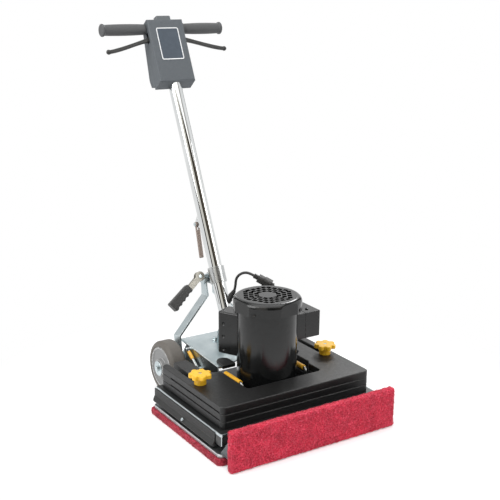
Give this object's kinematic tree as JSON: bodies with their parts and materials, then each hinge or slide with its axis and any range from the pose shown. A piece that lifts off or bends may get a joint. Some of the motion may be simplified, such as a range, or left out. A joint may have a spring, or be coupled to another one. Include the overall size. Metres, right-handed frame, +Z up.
{
  "type": "orbital floor buffer",
  "caption": "Walk-behind orbital floor buffer with a rectangular floor pad, front strip pad, weighted base, upright motor, rear wheels and tilting control handle.",
  "frame": {"origin": "on the floor under the motor's axis", "axes": "+Z up; -Y towards the front, where the upright strip pad is; +Y towards the operator; +X towards the conduit box"},
  "size_m": [0.511, 0.8205, 1.0321],
  "materials": {
    "pad": "needled nonwoven, matt",
    "driver_alloy": "satin",
    "zinc": "zinc plated, satin",
    "bright_steel": "bright",
    "chrome": "polished",
    "black_paint": "semi-gloss enamel",
    "plate_paint": "fine textured powder coat",
    "rubber": "matt",
    "grip_rubber": "matt",
    "tyre": "matt",
    "hub_plastic": "moulded",
    "housing_plastic": "grained",
    "label_film": "satin film",
    "black_plastic": "moulded",
    "yellow_plastic": "moulded",
    "yellow_sleeve": "dipped vinyl",
    "cord_rubber": "matt",
    "hook_strap": "matt",
    "motor_iron": "bare"
  },
  "bodies": {
    "base": {"base_pan": "zinc", "side_bumpers": "rubber", "weight_plate_lower": "plate_paint", "weight_plate_middle": "plate_paint", "weight_plate_upper": "plate_paint", "base_fasteners": "zinc", "motor_flange": "black_paint", "motor_frame": "black_paint", "stator": "motor_iron", "fan_cover": "black_paint", "top_bell": "black_paint", "motor_bearings": "bright_steel", "capacitor_cover": "black_paint", "conduit_box": "black_paint", "conduit_lid": "black_paint", "motor_screws": "black_paint", "rear_deck": "zinc", "deck_pucks": "rubber", "axle": "bright_steel", "sleeved_rods": "bright_steel", "rod_sleeves": "yellow_sleeve", "isolators": "rubber", "socket_lead": "cord_rubber", "motor_cord": "cord_rubber", "cord_plug": "cord_rubber"},
    "handle": {"handle_tube": "chrome", "handlebar": "chrome", "housing_front": "housing_plastic", "housing_rear": "housing_plastic", "label_panel": "label_film", "left_grip": "grip_rubber", "right_grip": "grip_rubber", "handle_fasteners": "zinc", "start_switch": "black_plastic", "mains_inlet": "black_plastic", "cord_gland": "black_plastic"},
    "hook": {"cord_hook": "hook_strap"},
    "trigger_left": {"left_trigger": "black_plastic"},
    "trigger_right": {"right_trigger": "black_plastic"},
    "button": {"interlock_button": "black_plastic"},
    "collar": {"tube_collar": "zinc", "clamp_bolts": "zinc"},
    "lever": {"cam_lever": "zinc", "lever_grip": "black_plastic"},
    "yoke": {"left_yoke_leg": "zinc", "right_yoke_leg": "zinc"},
    "wheel_left": {"left_tyre": "tyre", "left_hub": "hub_plastic"},
    "wheel_right": {"right_tyre": "tyre", "right_hub": "hub_plastic"},
    "motor_rotor": {"rotor": "motor_iron", "cooling_fan": "black_plastic", "eccentric": "motor_iron"},
    "driver": {"driver_plate": "driver_alloy", "driver_bearing": "bright_steel", "floor_pad": "pad", "front_bracket": "zinc", "strip_pad": "pad"},
    "knob_left": {"left_knob": "yellow_plastic"},
    "knob_right": {"right_knob": "yellow_plastic"}
  },
  "joints": [
    {"name": "rotor_spin", "type": "hinge", "parent": "base", "child": "motor_rotor", "pos_m": [0, 0, 0.2], "axis": [0, 0, 1], "continuous": true, "deforming": ["isolators"]},
    {"name": "driver_orbit", "type": "hinge", "parent": "motor_rotor", "child": "driver", "pos_m": [-0.003, 0, 0.037], "axis": [0, 0, 1], "continuous": true},
    {"name": "handle_tilt", "type": "hinge", "parent": "base", "child": "handle", "pos_m": [0, 0.189, 0.182], "axis": [-1, 0, 0], "range_deg": [-18, 14], "deforming": ["motor_cord"]},
    {"name": "yoke_swing", "type": "hinge", "parent": "base", "child": "yoke", "pos_m": [0, 0.264, 0.082], "axis": [-1, 0, 0], "range_deg": [-13.2, 10.3]},
    {"name": "collar_slide", "type": "slide", "parent": "handle", "child": "collar", "axis": [0, 0.4226, 0.9063], "range_m": [-0.0285, 0.0223]},
    {"name": "cam_lever_turn", "type": "hinge", "parent": "collar", "child": "lever", "pos_m": [-0.042, 0.28628, 0.322], "axis": [0, 0.9063, -0.4226], "range_deg": [0, 75]},
    {"name": "left_wheel_spin", "type": "hinge", "parent": "base", "child": "wheel_left", "pos_m": [-0.156, 0.264, 0.082], "axis": [1, 0, 0], "continuous": true},
    {"name": "right_wheel_spin", "type": "hinge", "parent": "base", "child": "wheel_right", "pos_m": [0.156, 0.264, 0.082], "axis": [1, 0, 0], "continuous": true},
    {"name": "left_trigger_squeeze", "type": "hinge", "parent": "handle", "child": "trigger_left", "pos_m": [-0.042, 0.54647, 0.96752], "axis": [0, 0.9063, -0.4226], "range_deg": [0, 16], "stiffness_Nm_per_rad": 0.8, "springref_deg": -17.19},
    {"name": "right_trigger_squeeze", "type": "hinge", "parent": "handle", "child": "trigger_right", "pos_m": [0.042, 0.54647, 0.96752], "axis": [0, -0.9063, 0.4226], "range_deg": [0, 16], "stiffness_Nm_per_rad": 0.8, "springref_deg": -17.19},
    {"name": "button_press", "type": "slide", "parent": "handle", "child": "button", "axis": [0, -0.4226, -0.9063], "range_m": [0, 0.0024], "stiffness_N_per_m": 900, "springref_m": -0.002},
    {"name": "left_knob_turn", "type": "hinge", "parent": "base", "child": "knob_left", "pos_m": [-0.1995, 0.0078, 0.15], "axis": [0, 0, 1], "continuous": true},
    {"name": "right_knob_turn", "type": "hinge", "parent": "base", "child": "knob_right", "pos_m": [0.1995, 0.0078, 0.15], "axis": [0, 0, 1], "continuous": true},
    {"name": "hook_swing", "type": "hinge", "parent": "handle", "child": "hook", "pos_m": [0, 0.37088, 0.45137], "axis": [1, 0, 0], "range_deg": [-8, 60]}
  ],
  "couplings": [
    {"joint": "driver_orbit", "follows": "rotor_spin", "ratio": -1},
    {"joint": "yoke_swing", "follows": "handle_tilt", "ratio": 0.72},
    {"joint": "collar_slide", "follows": "handle_tilt", "m_per_rad": 0.0894}
  ]
}
